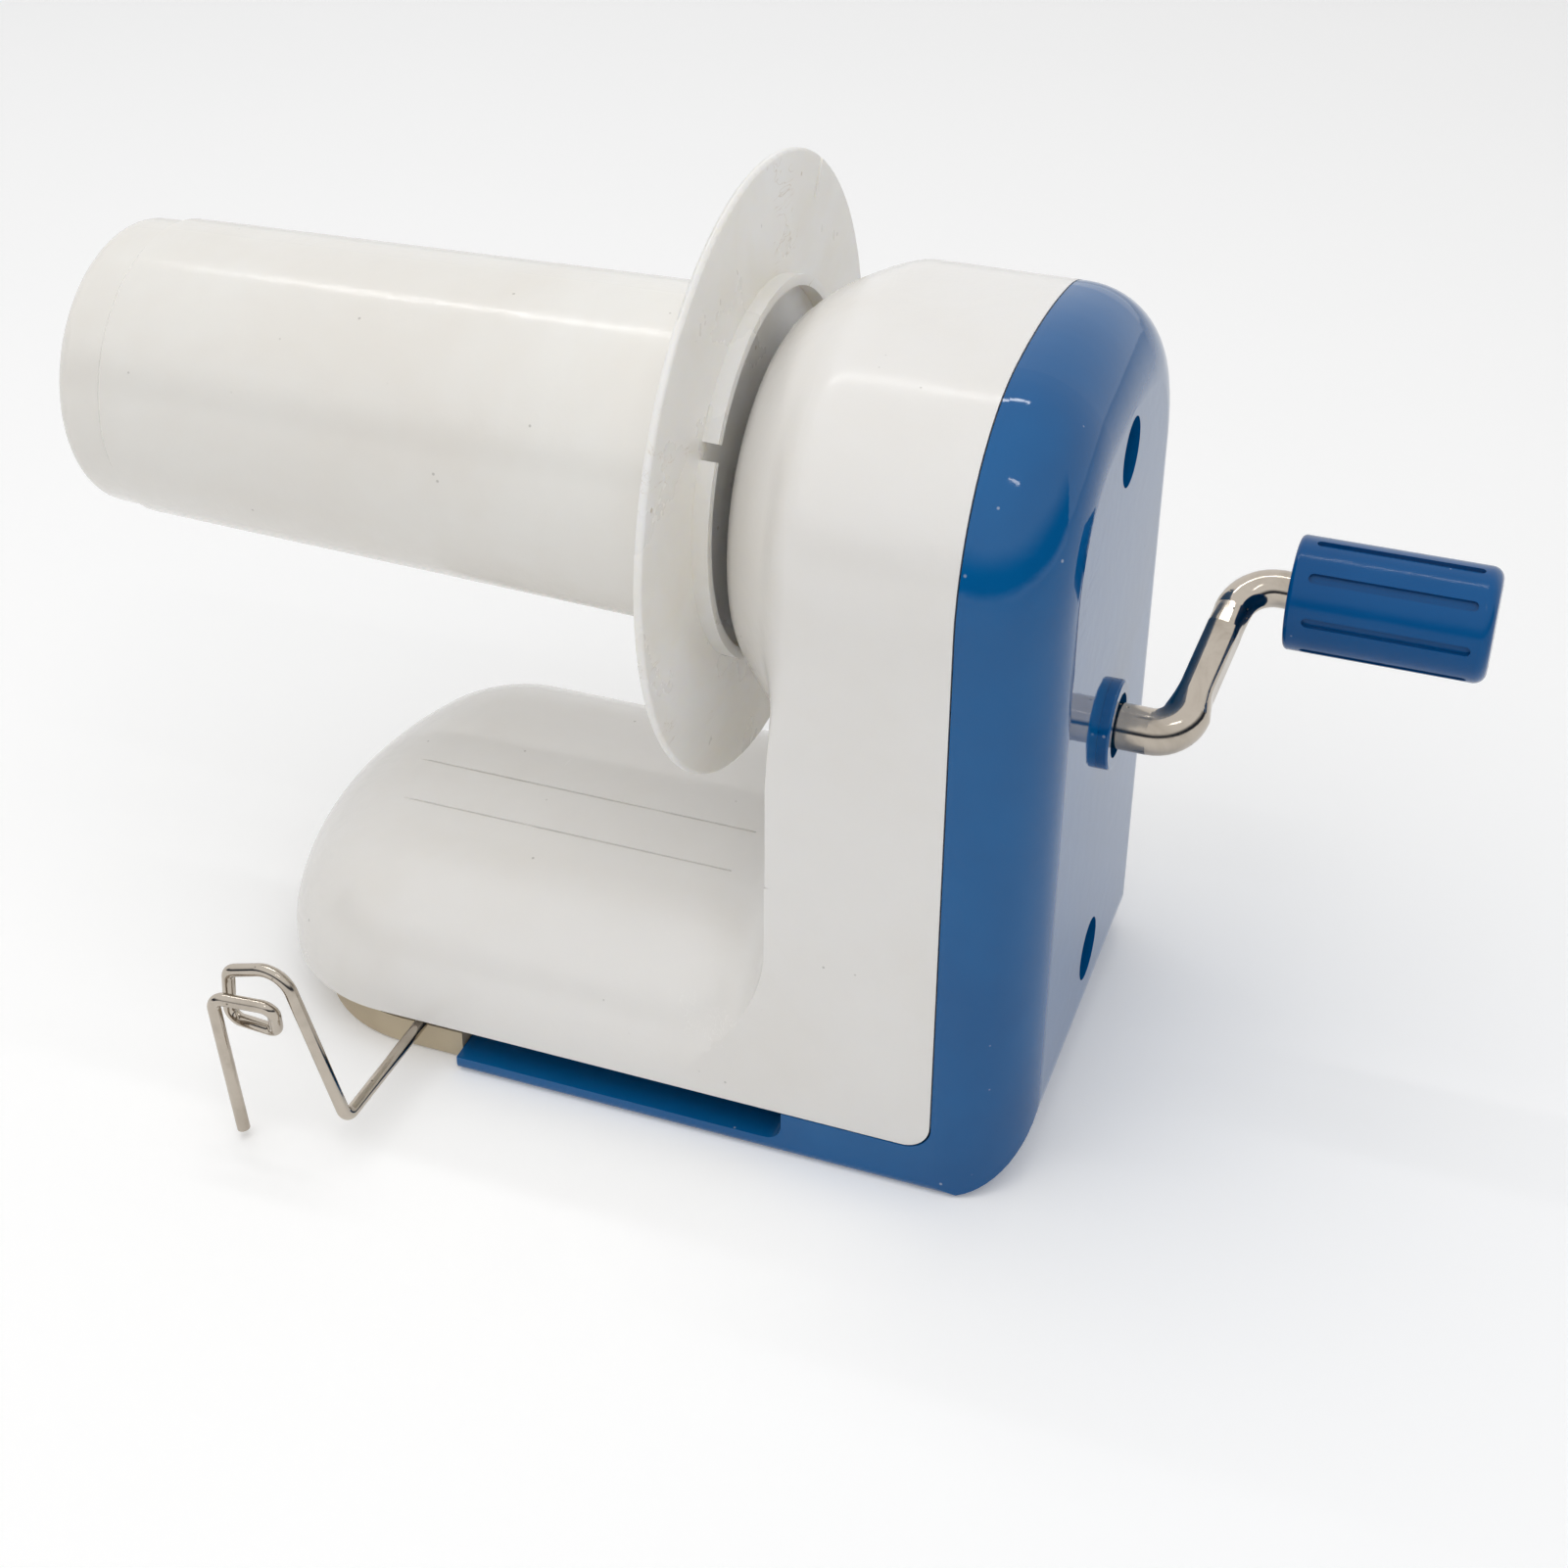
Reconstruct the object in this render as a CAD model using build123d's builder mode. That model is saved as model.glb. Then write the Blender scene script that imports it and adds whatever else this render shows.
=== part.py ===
from build123d import *
import os
from math import atan2, cos, degrees, pi, radians, sin, sqrt, tan

# Hand-cranked yarn cone winder, in millimetres.
#
# X runs along the machine: the yarn cone points to -X and the crank to +X.  The seam between the front
# housing and the back cover is the plane X = 0, the middle of the machine is Y = 0, and it stands on
# Z = 0.  Sizes along X that end in _front, _rear or _tip are distances ahead of the seam.

# ---------------------------------------------------------------- driving dimensions
# body outline
body_width = 100.4
tower_height = 161.0
tower_front = 33.5
cover_depth = 17.1
arch_corner_radius = 37.0
arch_crown_radius = 125.0
brow_radius = 10.0
cover_edge_radius = 16.0
floor_edge_radius = 2.0
base_height = 41.0
base_shoulder_radius = 28.0
nose_tip = 152.6
nose_straight = 117.0
nose_corner_radius = 32.0
base_blend_radius = 18.0
front_wall = 2.4
cover_wall = 3.6
floor_thickness = 3.5

# seam between the front housing and the back cover
seam_height = 10.4
seam_corner_radius = 5.5
seam_gap = 0.3
tongue_clearance = 0.15
tongue_reach = 3.0

# slot through the base for the jaw of a table clamp
slot_front = 100.0
slot_rear = 30.0
slot_corner_radius = 3.5

# fine lines cut along the top of the base
line_front = 137.0
line_rear = 52.0
line_near = -19.0
line_far = -5.0
line_width = 0.7
line_depth = 0.35

# round boss that carries the spindle, and the cone it flares out in towards the tower
boss_face_radius = 28.0
boss_height = 118.5
boss_front = 48.2
boss_edge_radius = 10.0
boss_flare_angle = 45.0

# gears, shafts and bushes
gear_module = 1.0
pressure_angle = 20.0
drive_teeth = 64
pinion_teeth = 20
backlash = 0.16
gear_width = 7.0
gear_front = 12.0
drive_hub_radius = 10.0
drive_hub_length = 5.0
pinion_hub_radius = 7.0
pinion_hub_length = 4.5
crank_height = 80.5
spindle_diameter = 8.0
crank_diameter = 9.0
running_clearance = 0.08
fixed_clearance = 0.02
bush_wall = 1.7
bush_flange = 1.0
bush_flange_reach = 1.1
seat_wall = 2.2
spindle_bush_length = 12.0
crank_bush_length = 10.0
rear_bush_length = 9.6
clip_thickness = 1.0
clip_reach = 2.0
clip_groove_depth = 0.4
washer_thickness = 0.7
washer_radius = 7.5
pin_diameter = 2.5

# flange disc
disc_radius = 59.3
disc_thickness = 1.6
disc_front = 53.8
disc_edge_radius = 0.7
skirt_radius = 36.5
skirt_wall = 2.0
skirt_length = 3.0
skirt_notch_width = 3.2
skirt_notch_angle = 150.0
spigot_length = 10.0
spigot_wall = 1.8
spigot_clearance = 0.15
hub_radius = 9.0
hub_length = 11.5
yarn_notch_angle = 58.0
yarn_notch_width = 1.4
yarn_notch_depth = 8.0

# yarn cone
cone_length = 135.2
cone_rear_radius = 32.9
cone_tip_radius = 29.8
cone_wall = 2.0
cone_band_length = 11.0
cone_band_step = 0.7
cone_edge_radius = 3.0

# crank and grip
shaft_front = 27.5
arm_x = 30.4
arm_lean = 5.0
throw_y = 32.0
throw_z = 17.0
low_bend_radius = 6.0
high_bend_radius = 8.0
arm_width = 6.4
arm_depth = 8.6
arm_corner_radius = 2.2
arm_taper = 5.0
handle_diameter = 7.4
collar_radius = 8.75
collar_thickness = 2.1
collar_mouth_radius = 6.3
collar_mouth_depth = 1.4
grip_x = 44.6
grip_length = 38.0
grip_radius = 11.25
grip_grooves = 8
groove_width = 2.0
groove_depth = 0.9
groove_margin = 3.4
grip_edge_radius = 1.0
grip_end_radius = 2.4
nut_pocket_length = 4.1
nut_pocket_radius = 7.0
nut_thickness = 0.8
nut_radius = 6.2
cap_radius = 8.0
cap_thickness = 1.8

# nose insert and yarn guide
insert_inset = 3.5
insert_setback = 2.8
insert_top = 6.8
insert_wall = 2.0
insert_edge_radius = 1.0
insert_post_x = -103.6
insert_post_y = 28.0
insert_post_radius = 2.2
insert_screw_radius = 1.0
insert_screw_length = 12.0
insert_head_radius = 2.0
insert_head_height = 1.6
insert_seat = 3.4
insert_boss_radius = 3.2
wire_diameter = 2.6
wire_height = 8.6
wire_foot = 1.2
pivot_x = -107.4
pivot_bend_radius = 2.2
pivot_bush_radius = 3.0
pivot_bush_top = 5.9
pivot_boss_wall = 1.6
pivot_boss_foot = 2.6
pivot_nut_thickness = 0.7
pivot_nut_radius = 3.3
pivot_post_radius = 4.0
guide_corners = (  # the wire's corners after its pivot, each with the radius of its bend
    ((-109.0, -78.6, wire_height), 2.2),
    ((-119.6, -78.4, 42.2), 5.5),
    ((-131.6, -78.2, 38.4), 2.4),
    ((-133.4, -77.2, 25.8), 2.4),
    ((-121.8, -79.0, 27.0), 2.4),
    ((-120.6, -81.2, 34.6), 2.4),
    ((-133.2, -82.4, 34.6), 2.4),
)
guide_end = (-130.8, -81.6, 1.8)

# screws
cover_screw_heights = (26.5, 137.8)
recess_radius = 6.5
recess_wall = 1.8
recess_floor = 5.0
screw_radius = 1.5
screw_clearance = 0.05
screw_head_radius = 3.0
screw_head_height = 2.0
screw_length = 14.0
cover_post_radius = 3.5
hub_screw_radius = 2.0
hub_screw_length = 7.0
hub_washer_radius = 6.0

# ribs inside the front housing
rib_x = -20.0
rib_thickness = 2.0
rib_top = 44.0

# ---------------------------------------------------------------- sizes worked out from these
half_width = body_width / 2
spindle_height = crank_height + gear_module * (drive_teeth + pinion_teeth) / 2
spindle_radius = spindle_diameter / 2
crank_radius = crank_diameter / 2
handle_radius = handle_diameter / 2
spindle_seat = spindle_radius + bush_wall
crank_seat = crank_radius + bush_wall
front_inside = -tower_front + front_wall
boss_inside = -boss_front + front_wall
back_inside = cover_depth - cover_wall
gear_rear = gear_front - gear_width
cone_tip = disc_front + cone_length
disc_back = -disc_front + disc_thickness
skirt_rear = disc_back + skirt_length
hub_rear = -boss_front - bush_flange - washer_thickness
hub_front = -disc_front - hub_length
hub_pin_x = -disc_front - 1.6
grip_end = grip_x + grip_length
grip_y = throw_y
grip_z = crank_height + throw_z
cap_x = grip_end - cap_thickness
nut_pocket_x = cap_x - nut_pocket_length
rod_end = cap_x - 0.6
wire_radius = wire_diameter / 2
rear_clip_x = back_inside - rear_bush_length - bush_flange - clip_thickness - 0.1
crank_rear_bush_x = 5.0
cover_post_end = recess_floor - cover_wall - seam_gap
beyond = 200.0

os.makedirs("parts", exist_ok=True)


# ---------------------------------------------------------------- helpers
def across(x, height=0.0, y=0.0):
    """Plane square to X, with its local x along +Y and its local y along +Z."""
    return Plane(origin=(x, y, height), x_dir=(0, 1, 0), z_dir=(1, 0, 0))


def side_on(height=0.0, y=0.0):
    """Plane along the machine, with its local x along +X and its local y along +Z."""
    return Plane(origin=(0, y, height), x_dir=(1, 0, 0), z_dir=(0, -1, 0))


def level(z, x=0.0, y=0.0):
    """Plane square to Z."""
    return Plane(origin=(x, y, z), x_dir=(1, 0, 0), z_dir=(0, 0, 1))


def tube(plane, length, outer, inner=0.0):
    """Round bar or tube that stands on a plane."""
    with BuildPart() as piece:
        with BuildSketch(plane):
            Circle(outer)
            if inner:
                Circle(inner, mode=Mode.SUBTRACT)
        extrude(amount=length)
    return piece.part


def block(x_from, x_to, half, z_from, z_to):
    """Block across the machine's middle plane."""
    with BuildPart() as piece:
        with BuildSketch(level(z_from, (x_from + x_to) / 2)):
            Rectangle(x_to - x_from, 2 * half)
        extrude(amount=z_to - z_from)
    return piece.part


def clip(x, height, radius, y=0.0):
    """Open retaining ring that sits in a groove of a shaft along X."""
    with BuildPart() as piece:
        add(tube(across(x, height, y), clip_thickness, radius + clip_reach, radius - clip_groove_depth))
        with BuildSketch(across(x, height, y)):
            with Locations((0, -radius)):
                Rectangle(radius, 2 * radius)
        extrude(amount=clip_thickness, mode=Mode.SUBTRACT)
    return piece.part


def clip_groove(x, height, radius, y=0.0):
    """Ring of material that a retaining ring's groove takes out of a shaft."""
    with BuildPart() as piece:
        add(tube(across(x - fixed_clearance, height, y), clip_thickness + 2 * fixed_clearance, radius + 1,
                 radius - clip_groove_depth - fixed_clearance))
    return piece.part


def arch(x_from, x_to, inset=0.0, floor=0.0):
    """Arched block: straight sides, two corner arcs and a crown arc."""
    half = half_width - inset
    corner_y = half_width - arch_corner_radius
    crown_z = tower_height - arch_crown_radius
    corner_z = crown_z + sqrt((arch_crown_radius - arch_corner_radius) ** 2 - corner_y**2)
    lean = degrees(atan2(corner_y, corner_z - crown_z))
    corner_radius = arch_corner_radius - inset
    with BuildPart() as piece:
        with BuildSketch(across(x_from)):
            with BuildLine():
                Line((half, floor), (half, corner_z))
                CenterArc((corner_y, corner_z), corner_radius, 0, 90 - lean)
                CenterArc((0, crown_z), arch_crown_radius - inset, 90 - lean, 2 * lean)
                CenterArc((-corner_y, corner_z), corner_radius, 90 + lean, 90 - lean)
                Polyline((-half, corner_z), (-half, floor), (half, floor))
            make_face()
        extrude(amount=x_to - x_from)
    return piece.part


def tower(inset=0.0, floor=0.0):
    """Tower with its rounded back edges and the rounded brow of its front."""
    front = -tower_front + inset
    back = cover_depth - inset
    top = tower_height - inset
    brow = brow_radius - inset
    with BuildPart() as piece:
        add(arch(front, back, inset, floor))
        fillet(piece.faces().sort_by(Axis.X)[-1].edges(), cover_edge_radius - inset)
        with BuildSketch(side_on()):
            with BuildLine():
                Polyline((front, floor), (back, floor), (back, top), (front + brow, top))
                CenterArc((front + brow, top - brow), brow, 90, 90)
                Line((front, top - brow), (front, floor))
            make_face()
        extrude(amount=body_width, both=True, mode=Mode.INTERSECT)
    return piece.part


def base_plan(height, inset=0.0, rear=0.0):
    """Plan of the base at a height: straight sides, two corner arcs and a nose arc."""
    half = half_width - inset
    corner_y = half_width - nose_corner_radius
    run = nose_tip - nose_straight
    rise = run**2 + corner_y**2 - nose_corner_radius**2
    nose_radius = rise / (2 * (run - nose_corner_radius))
    nose_x = -nose_tip + nose_radius
    swing = degrees(atan2(corner_y, nose_x + nose_straight))
    corner_radius = nose_corner_radius - inset
    with BuildSketch(level(height)) as face:
        with BuildLine():
            Polyline((-nose_straight, half), (rear, half), (rear, -half), (-nose_straight, -half))
            CenterArc((-nose_straight, -corner_y), corner_radius, 270, swing - 90)
            CenterArc((nose_x, 0), nose_radius - inset, 180 + swing, -2 * swing)
            CenterArc((-nose_straight, corner_y), corner_radius, 180 - swing, swing - 90)
        make_face()
    return face.sketch


def base(inset=0.0, floor=0.0):
    """Base block with its round shoulders."""
    top = base_height - inset
    with BuildPart() as piece:
        extrude(base_plan(floor, inset), amount=top - floor)
        rim = piece.faces().sort_by(Axis.Z)[-1].edges()
        fillet(rim.filter_by(lambda edge: edge.center().X < -1), base_shoulder_radius - inset)
    return piece.part


def base_blend(inset=0.0):
    """Concave sweep from the top and the shoulders of the base up into the tower's front."""
    shoulder_y = half_width - base_shoulder_radius
    shoulder_z = base_height - base_shoulder_radius
    foot = -tower_front - base_blend_radius
    top = base_height + base_blend_radius
    radius = base_blend_radius + inset
    bite = 1.0
    corner = (-tower_front + inset + bite, base_height - inset - bite)

    def profile(y):
        with BuildSketch(side_on(y=y)) as face:
            with BuildLine():
                CenterArc((foot, top), radius, 270, 90)
                Polyline((foot + radius, top), (corner[0], top), corner, (foot, corner[1]),
                         (foot, top - radius))
            make_face()
        return face.sketch

    with BuildPart() as piece:
        extrude(profile(shoulder_y), amount=2 * shoulder_y)
        for side in (-1, 1):
            axis = Axis((0, side * shoulder_y, shoulder_z), (-side, 0, 0))
            revolve(profile(side * shoulder_y), axis=axis, revolution_arc=90)
        add(block(-beyond, beyond, half_width - inset, 0, beyond), mode=Mode.INTERSECT)
    return piece.part


def boss(inset=0.0):
    """Round boss: a flat face, a well rounded edge and a cone that runs out into the arched tower."""
    edge = boss_edge_radius - inset
    centre = (-boss_front + boss_edge_radius, boss_height + boss_face_radius)
    lean = radians(boss_flare_angle)
    turn = (centre[0] - edge * sin(lean), centre[1] + edge * cos(lean))
    run = -turn[0]
    with BuildPart() as piece:
        with BuildSketch(side_on()):
            with BuildLine():
                Line((centre[0] - edge, boss_height), (centre[0] - edge, centre[1]))
                CenterArc(centre, edge, 180, -boss_flare_angle)
                Polyline(turn, (0, turn[1] + run / tan(lean)), (0, boss_height),
                         (centre[0] - edge, boss_height))
            make_face()
        revolve(axis=Axis((0, 0, boss_height), (1, 0, 0)))
        add(arch(-boss_front, 0, inset), mode=Mode.INTERSECT)
    return piece.part


def outside():
    """Whole outside of the tower, the base and the boss."""
    with BuildPart() as piece:
        add(tower())
        add(base())
        add(base_blend())
        add(boss())
    return piece.part


def front_region(gap=0.0):
    """Everything above and ahead of the seam, with the seam's rounded corner."""
    low = seam_height + gap
    corner = seam_corner_radius
    with BuildPart() as piece:
        with BuildSketch(side_on()):
            with BuildLine():
                Line((-beyond, low), (-gap - corner, low))
                CenterArc((-gap - corner, low + corner), corner, 270, 90)
                Polyline((-gap, low + corner), (-gap, beyond), (-beyond, beyond), (-beyond, low))
            make_face()
        extrude(amount=beyond, both=True)
    return piece.part


def gear(teeth, height, first_tooth):
    """Spur gear along X: arcs follow the involute flanks, thinned for half of the backlash."""
    pitch = gear_module * teeth / 2
    root = pitch - 1.25 * gear_module
    tip = pitch + gear_module
    ground = pitch * cos(radians(pressure_angle))
    low = max(ground, root + 0.05)
    half_tooth = pi / (2 * teeth) - backlash / (4 * pitch)

    def unwound(radius):
        slope = sqrt((radius / ground) ** 2 - 1)
        return slope - atan2(slope, 1)

    def flank(radius):
        return half_tooth + unwound(pitch) - unwound(radius)

    def point(radius, angle):
        return (radius * cos(angle), radius * sin(angle))

    with BuildPart() as piece:
        with BuildSketch(across(-gear_front, height)):
            with BuildLine():
                for tooth in range(teeth):
                    here = radians(first_tooth) + 2 * pi * tooth / teeth
                    after = here + 2 * pi / teeth
                    radii = (low, (low + tip) / 2, tip)
                    rise = [point(radius, here - flank(radius)) for radius in radii]
                    fall = [point(radius, here + flank(radius)) for radius in reversed(radii)]
                    ThreePointArc(*rise)
                    Line(rise[-1], fall[0])
                    ThreePointArc(*fall)
                    Polyline(fall[-1], point(root, here + flank(low)), point(root, after - flank(low)),
                             point(low, after - flank(low)))
            make_face()
        extrude(amount=gear_width)
    return piece.part


def finish(piece, name):
    """Label a finished piece and write its file."""
    piece.part.label = name
    export_step(piece.part, f"parts/{name}.step")


# ---------------------------------------------------------------- front housing
with BuildPart() as housing_fittings:
    # cross rib between the tower and the base
    add(block(rib_x - rib_thickness, rib_x, half_width - front_wall / 2, seam_height + seam_gap,
              rib_top))
    # tubes that hold the front bushes of the spindle and of the crank
    add(tube(across(-boss_front, spindle_height), spindle_bush_length + seat_wall,
             spindle_seat + seat_wall))
    add(tube(across(-boss_front, crank_height), boss_front - shaft_front + crank_bush_length,
             crank_seat + seat_wall))
    # posts that the two cover screws go into
    for height, start in zip(cover_screw_heights, (rib_x, -boss_front)):
        add(tube(across(start, height), cover_post_end - start, cover_post_radius))
    # post over the pivot of the yarn guide, and posts that the insert's screws go into
    post_foot = wire_height + wire_radius + 0.3
    add(tube(level(post_foot, pivot_x), base_height - post_foot, pivot_post_radius))
    for y in (-insert_post_y, insert_post_y):
        add(tube(level(insert_top, insert_post_x, y), base_height - insert_top, insert_post_radius))
    add(outside(), mode=Mode.INTERSECT)

with BuildPart() as front_housing:
    add(outside())
    add(tower(front_wall, -1), mode=Mode.SUBTRACT)
    add(base(front_wall, -1), mode=Mode.SUBTRACT)
    add(base_blend(front_wall), mode=Mode.SUBTRACT)
    add(boss(front_wall), mode=Mode.SUBTRACT)
    add(front_region(seam_gap), mode=Mode.INTERSECT)
    add(housing_fittings.part)
    # two fine lines along the top of the base
    for y in (line_near, line_far):
        with BuildSketch(level(base_height - line_depth, -(line_front + line_rear) / 2, y)):
            SlotOverall(line_front - line_rear, line_width)
        extrude(amount=1, mode=Mode.SUBTRACT)
    # bores for the front bushes of the spindle and of the crank
    add(tube(across(-boss_front, spindle_height), spindle_bush_length + seat_wall, spindle_seat),
        mode=Mode.SUBTRACT)
    add(tube(across(-shaft_front - bush_flange, crank_height), beyond, crank_seat), mode=Mode.SUBTRACT)
    # holes for the screws
    for height in cover_screw_heights:
        add(tube(across(recess_floor - screw_length - 1, height), screw_length,
                 screw_radius + screw_clearance), mode=Mode.SUBTRACT)
    for y in (-insert_post_y, insert_post_y):
        add(tube(level(insert_top, insert_post_x, y), insert_seat + insert_screw_length + 1 - insert_top,
                 insert_screw_radius + screw_clearance), mode=Mode.SUBTRACT)
finish(front_housing, "front_housing")

# ---------------------------------------------------------------- back cover with its floor
with BuildPart() as back_cover:
    add(tower())
    add(front_region(), mode=Mode.SUBTRACT)
    add(block(-slot_front, -slot_corner_radius, half_width, 0, seam_height))
    add(tower(cover_wall, floor_thickness), mode=Mode.SUBTRACT)
    add(block(-slot_rear, -slot_rear + front_wall, half_width, 0, seam_height))
    # clamp slot, open on both sides, with a rounded lower rear corner
    with BuildSketch(side_on()):
        with BuildLine():
            rear = -slot_rear
            low = floor_thickness
            Polyline((rear, low + slot_corner_radius), (rear, beyond), (-beyond, beyond), (-beyond, low),
                     (rear - slot_corner_radius, low))
            CenterArc((rear - slot_corner_radius, low + slot_corner_radius), slot_corner_radius, 270, 90)
        make_face()
    extrude(amount=body_width, both=True, mode=Mode.SUBTRACT)
    # rounded long edges underneath
    with BuildSketch(across(-beyond)):
        with BuildLine():
            edge = half_width - floor_edge_radius
            Line((-half_width, beyond), (-half_width, floor_edge_radius))
            CenterArc((-edge, floor_edge_radius), floor_edge_radius, 180, 90)
            Line((-edge, 0), (edge, 0))
            CenterArc((edge, floor_edge_radius), floor_edge_radius, 270, 90)
            Polyline((half_width, floor_edge_radius), (half_width, beyond), (-half_width, beyond))
        make_face()
    extrude(amount=2 * beyond, mode=Mode.INTERSECT)
    # tongue inside the seam
    tongue_floor = seam_height + seam_corner_radius
    tongue_start = -tongue_reach
    add(arch(tongue_start, 0.5, front_wall + tongue_clearance, tongue_floor))
    add(arch(tongue_start, 1.0, cover_wall, 0), mode=Mode.SUBTRACT)
    # seats of the rear bushes
    add(tube(across(back_inside - rear_bush_length, spindle_height), rear_bush_length + 1,
             spindle_seat + seat_wall))
    add(tube(across(back_inside - rear_bush_length, spindle_height), rear_bush_length, spindle_seat),
        mode=Mode.SUBTRACT)
    add(tube(across(crank_rear_bush_x, crank_height), cover_depth - crank_rear_bush_x,
             crank_seat + seat_wall))
    add(tube(across(crank_rear_bush_x, crank_height), cover_depth, crank_seat), mode=Mode.SUBTRACT)
    # deep recesses for the two cover screws
    for height in cover_screw_heights:
        add(tube(across(recess_floor - cover_wall, height), cover_depth - recess_floor + cover_wall,
                 recess_radius + recess_wall))
        add(tube(across(recess_floor, height), cover_depth, recess_radius), mode=Mode.SUBTRACT)
        add(tube(across(0, height), cover_depth, screw_radius + 0.1), mode=Mode.SUBTRACT)
finish(back_cover, "back_cover")

with BuildPart() as cover_screws:
    for height in cover_screw_heights:
        add(tube(across(recess_floor, height), screw_head_height, screw_head_radius))
        add(tube(across(recess_floor - screw_length, height), screw_length, screw_radius))
        with BuildSketch(across(recess_floor + screw_head_height, height)):
            Rectangle(3.0, 0.7)
            Rectangle(0.7, 3.0)
        extrude(amount=-1.2, mode=Mode.SUBTRACT)
finish(cover_screws, "cover_screws")

# ---------------------------------------------------------------- nose insert
with BuildPart() as nose_insert:
    insert_rear = -slot_front - seam_gap
    setback = Location((insert_setback, 0, 0))
    outside_plan = base_plan(0, insert_inset, insert_rear - insert_setback)
    extrude(outside_plan.moved(setback), amount=insert_top)
    outline = nose_insert.faces().sort_by(Axis.Z)[0].edges()
    fillet(outline.filter_by(lambda edge: edge.center().X < insert_rear - 1), insert_edge_radius)
    hollow = base_plan(0, insert_inset + insert_wall, insert_rear - insert_wall - insert_setback)
    extrude(hollow.moved(setback), amount=insert_top - insert_wall, mode=Mode.SUBTRACT)
    # boss round the guide's pivot, and the holes for the two screws
    boss_length = insert_top - pivot_boss_foot
    add(tube(level(pivot_boss_foot, pivot_x), boss_length, pivot_bush_radius + pivot_boss_wall))
    add(tube(level(pivot_boss_foot, pivot_x), boss_length, pivot_bush_radius), mode=Mode.SUBTRACT)
    for y in (-insert_post_y, insert_post_y):
        add(tube(level(0, insert_post_x, y), insert_top, insert_boss_radius))
        add(tube(level(0, insert_post_x, y), insert_seat, insert_head_radius + 0.2), mode=Mode.SUBTRACT)
        add(tube(level(0, insert_post_x, y), insert_top, insert_screw_radius + 0.1), mode=Mode.SUBTRACT)
finish(nose_insert, "nose_insert")

with BuildPart() as insert_screws:
    for y in (-insert_post_y, insert_post_y):
        add(tube(level(insert_seat, insert_post_x, y), -insert_head_height, insert_head_radius))
        add(tube(level(insert_seat, insert_post_x, y), insert_screw_length, insert_screw_radius))
finish(insert_screws, "insert_screws")

# ---------------------------------------------------------------- yarn guide
with BuildPart() as guide_wire:
    with BuildLine():
        corners = [(pivot_x, 0, wire_height)] + [corner for corner, bend in guide_corners]
        bends = [pivot_bend_radius] + [bend for corner, bend in guide_corners]
        FilletPolyline((pivot_x, 0, wire_foot), *corners, guide_end, radius=bends)
    with BuildSketch(level(wire_foot, pivot_x)):
        Circle(wire_radius)
    sweep()
finish(guide_wire, "guide_wire")

with BuildPart() as guide_bush:
    add(tube(level(pivot_boss_foot, pivot_x), pivot_bush_top - pivot_boss_foot,
             pivot_bush_radius - fixed_clearance, wire_radius + running_clearance))
finish(guide_bush, "guide_bush")

with BuildPart() as guide_nut:
    add(tube(level(pivot_boss_foot - 0.1 - pivot_nut_thickness, pivot_x), pivot_nut_thickness,
             pivot_nut_radius, wire_radius))
finish(guide_nut, "guide_nut")

# ---------------------------------------------------------------- spindle and its bushes
with BuildPart() as spindle:
    spindle_start = hub_front + 0.2
    add(tube(across(spindle_start, spindle_height), back_inside - 1.0 - spindle_start, spindle_radius))
    chamfer(spindle.faces().sort_by(Axis.X)[-1].edges(), 0.6)
    add(tube(across(spindle_start, spindle_height), hub_screw_length + 1, hub_screw_radius),
        mode=Mode.SUBTRACT)
    add(clip_groove(rear_clip_x, spindle_height, spindle_radius), mode=Mode.SUBTRACT)
    for x in (hub_pin_x, -gear_front - pinion_hub_length / 2):
        add(tube(level(0, x), beyond, pin_diameter / 2), mode=Mode.SUBTRACT)
finish(spindle, "spindle")

with BuildPart() as spindle_front_bush:
    add(tube(across(-boss_front, spindle_height), spindle_bush_length, spindle_seat - fixed_clearance,
             spindle_radius + running_clearance))
    add(tube(across(-boss_front, spindle_height), -bush_flange, spindle_seat + bush_flange_reach,
             spindle_radius + running_clearance))
finish(spindle_front_bush, "spindle_front_bush")

with BuildPart() as spindle_rear_bush:
    bush_x = back_inside - rear_bush_length
    add(tube(across(bush_x, spindle_height), rear_bush_length, spindle_seat - fixed_clearance,
             spindle_radius + running_clearance))
    add(tube(across(bush_x, spindle_height), -bush_flange, spindle_seat + bush_flange_reach,
             spindle_radius + running_clearance))
finish(spindle_rear_bush, "spindle_rear_bush")

with BuildPart() as spindle_washer:
    add(tube(across(hub_rear, spindle_height), washer_thickness, washer_radius,
             spindle_radius + fixed_clearance))
finish(spindle_washer, "spindle_washer")

with BuildPart() as spindle_clip:
    add(clip(rear_clip_x, spindle_height, spindle_radius))
finish(spindle_clip, "spindle_clip")

with BuildPart() as pinion:
    add(gear(pinion_teeth, spindle_height, -90 + 180 / pinion_teeth))
    add(tube(across(-gear_front - pinion_hub_length, spindle_height), pinion_hub_length,
             pinion_hub_radius))
    add(tube(across(-beyond, spindle_height), 2 * beyond, spindle_radius + fixed_clearance),
        mode=Mode.SUBTRACT)
    pinion_pin_x = -gear_front - pinion_hub_length / 2
    add(tube(level(0, pinion_pin_x), beyond, pin_diameter / 2), mode=Mode.SUBTRACT)
finish(pinion, "pinion")

with BuildPart() as pinion_pin:
    add(tube(level(spindle_height - pinion_hub_radius, pinion_pin_x), 2 * pinion_hub_radius,
             pin_diameter / 2 - fixed_clearance))
finish(pinion_pin, "pinion_pin")

# ---------------------------------------------------------------- flange disc and yarn cone
spindle_axis = Axis((0, 0, spindle_height), (1, 0, 0))
spigot_radius = cone_rear_radius - cone_wall - spigot_clearance

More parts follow.
